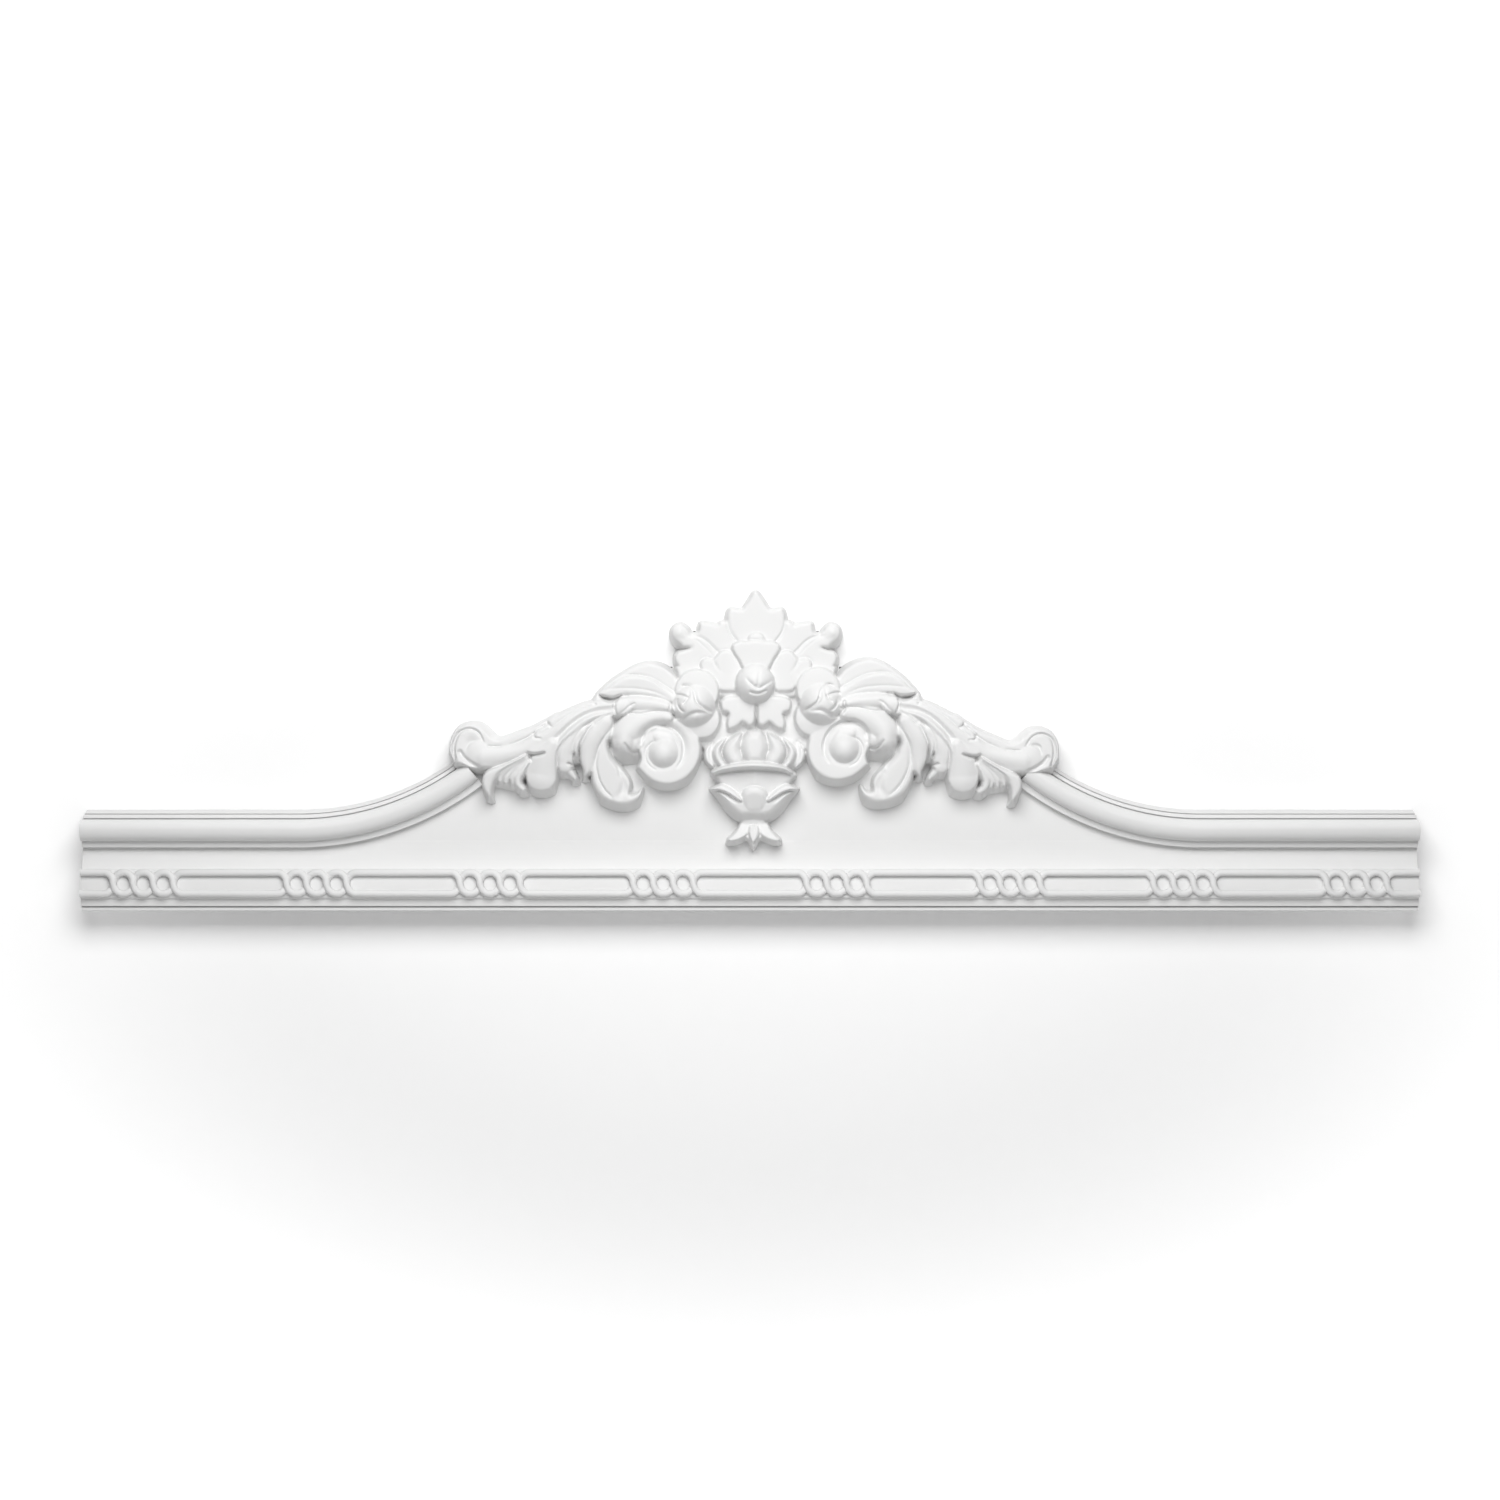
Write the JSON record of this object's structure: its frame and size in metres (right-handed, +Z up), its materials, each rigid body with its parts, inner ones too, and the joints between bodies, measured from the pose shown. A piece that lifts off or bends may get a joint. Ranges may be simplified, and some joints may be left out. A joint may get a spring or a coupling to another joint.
{
  "type": "door pediment",
  "caption": "Long moulded overdoor pediment, flat at the back, with a ring-and-bar band along its foot, a swept crown moulding and a carved crest of shell, flowers, urn, scrolls and acanthus.",
  "frame": {"origin": "on the flat back, on the board's centre line, at half the height of the straight wings", "axes": "+X along the board, to the right seen from the front; +Y out of the back, into the wall; +Z up; the front faces -Y"},
  "size_m": [1.3336, 0.0706, 0.3226],
  "materials": {
    "primed_foam": "smooth factory primer, matte"
  },
  "bodies": {
    "root": {"pediment": "primed_foam"}
  },
  "joints": []
}
